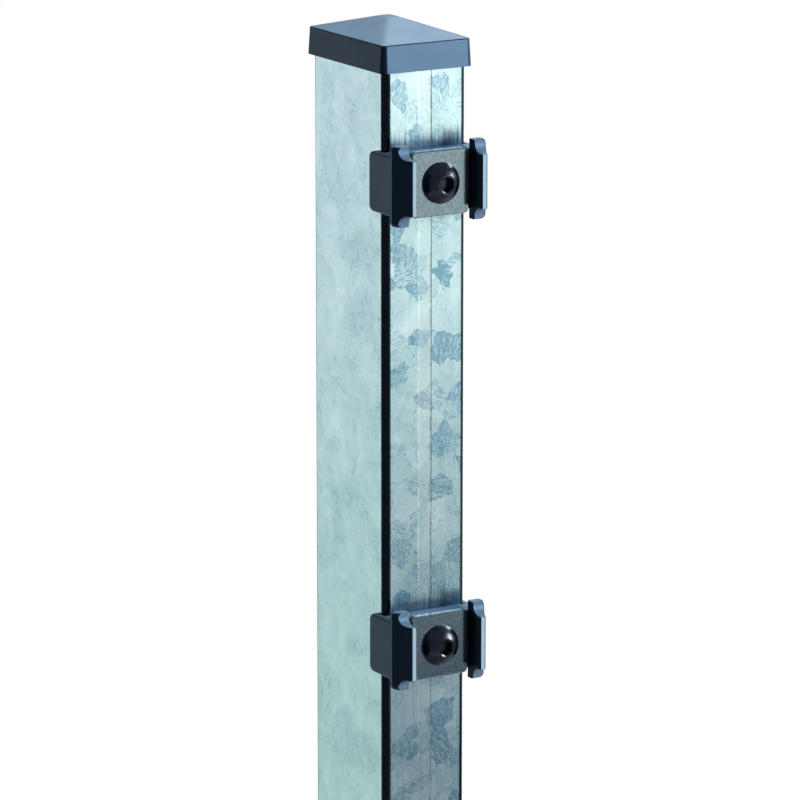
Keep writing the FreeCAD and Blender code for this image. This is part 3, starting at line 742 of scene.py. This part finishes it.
softbox("key_front_right", (1.65, -1.6, 1.55), (0, 0, 0.9), width=1.2, height=1.2, watts=98)
softbox("top_back_right", (1.05, 1.49, 2.25), (0, 0, 1.0), width=1.1, height=0.8, watts=20)
bolt_glint = softbox("bolt_glint", (1.28, -0.66, 1.42), (0, 0, 0.85), width=0.4, height=0.55,
                     watts=28)
bolt_glint.visible_diffuse = False

# %% [markdown]
# ## Cards
#
# Metal shows what is around it, and little else. A photographer puts white, grey and black cards
# where the metal looks, and so does this scene: they are curved sheets that glow and are seen only
# in reflections. The wide tube face mirrors the card at the back left, the narrow one that at the
# front right.

# %% A curved card
CARD_STEPS = 24


def only_in_reflections(thing):
    """Keeps a stage piece out of the picture, the shadows and the light on matt surfaces."""
    thing.visible_camera = thing.visible_diffuse = False
    thing.visible_shadow = thing.visible_transmission = False


def studio_card(name, degrees, heights, radius, tones, tone_heights=(0, 1), strength=1):
    """A curved card round the post, graded from its low tone to its high tone."""
    points, faces = [], []
    for i in range(CARD_STEPS + 1):
        angle = math.radians(degrees[0] + (degrees[1] - degrees[0]) * i / CARD_STEPS)
        x, y = radius * math.cos(angle), radius * math.sin(angle)
        points += [(x, y, heights[0]), (x, y, heights[1])]
        if i:
            faces.append((2 * i - 2, 2 * i, 2 * i + 1, 2 * i - 1))
    mesh = bpy.data.meshes.new(name)
    mesh.from_pydata(points, [], faces)
    card = bpy.data.objects.new(name, mesh)
    bpy.context.scene.collection.objects.link(card)
    material, tree = new_material(name)
    place = add_node(tree, "ShaderNodeTexCoord")["Object"]
    height = add_node(tree, "ShaderNodeSeparateXYZ", None, {"Vector": place})["Z"]
    rise = add_node(tree, "ShaderNodeMapRange", {"interpolation_type": "SMOOTHSTEP"}, {
        "Value": height, "From Min": tone_heights[0], "From Max": tone_heights[1]})["Result"]
    tone = add_node(tree, "ShaderNodeMix", {"data_type": "RGBA"}, {
        "Factor_Float": rise, "A_Color": linear(tones[0]),
        "B_Color": linear(tones[1])})["Result_Color"]
    glow = add_node(tree, "ShaderNodeEmission", None, {"Color": tone, "Strength": strength})
    add_node(tree, "ShaderNodeOutputMaterial", None, {"Surface": glow["Emission"]})
    mesh.materials.append(material)
    only_in_reflections(card)
    print(name, "from", degrees[0], "to", degrees[1], "degrees")


print("a card is bent in", CARD_STEPS, "steps")

# %% [markdown]
# ### Where the cards stand
#
# Two pale cards make the tube's wide and narrow faces bright, with a darker foot so that the narrow
# face grades downwards. Black flags beside them sharpen the front bend, and black cards above them
# keep the plastic's tops dark. A sky blue card high behind shines on the cap's roof. Middle grey
# closes the room, so that the zinc looks like zinc from every side.

# %% Cards round the post
BLACK = ("#05060A", "#05060A")
GREY = ("#93A8B2", "#93A8B2")
SKY = ("#B0E0FF", "#B0E0FF")
FRONT_RIGHT, BACK_LEFT, BEHIND = (291, 363), (103, 133), (5, 103)
CEILING_HEIGHT = 2.5
CEILING_RADIUS = 1.7
CEILING_CORNERS = 48
ALL_HEIGHTS = (-1, CEILING_HEIGHT)
studio_card("camera_side_card", (133, 291), ALL_HEIGHTS, 1.5, GREY)
studio_card("front_flag", (276, 291), ALL_HEIGHTS, 1.45, BLACK)
studio_card("left_flag", (131, 148), ALL_HEIGHTS, 1.45, BLACK)
studio_card("front_right_card", FRONT_RIGHT, (0, 0.98), 1.6, ("#104468", "#F0FAF9"),
            tone_heights=(0.14, 0.58), strength=1.02)
studio_card("high_right_card", FRONT_RIGHT, (0.98, CEILING_HEIGHT), 1.6, BLACK)
studio_card("back_left_card", BACK_LEFT, (0, 1.05), 1.6, ("#CEE4DE", "#F2FAFF"),
            tone_heights=(0.2, 0.62), strength=1.08)
studio_card("high_left_card", BACK_LEFT, (1.05, CEILING_HEIGHT), 1.6, BLACK)
studio_card("behind_card", BEHIND, (0, 1.7), 1.75, GREY)
studio_card("sky_card", BEHIND, (1.7, CEILING_HEIGHT), 1.75, SKY, strength=3.8)

bpy.ops.mesh.primitive_circle_add(vertices=CEILING_CORNERS, radius=CEILING_RADIUS,
                                  fill_type="NGON", location=(0, 0, CEILING_HEIGHT))
ceiling = bpy.context.object
ceiling.name = "grey_ceiling"
ceiling.data.materials.append(bpy.data.materials["camera_side_card"])
only_in_reflections(ceiling)

# %% [markdown]
# ## Finish
#
# Dressing must not change the part's size; its box was written down after the import.

# %% Finish
bpy.context.scene.view_settings.view_transform = "Standard"
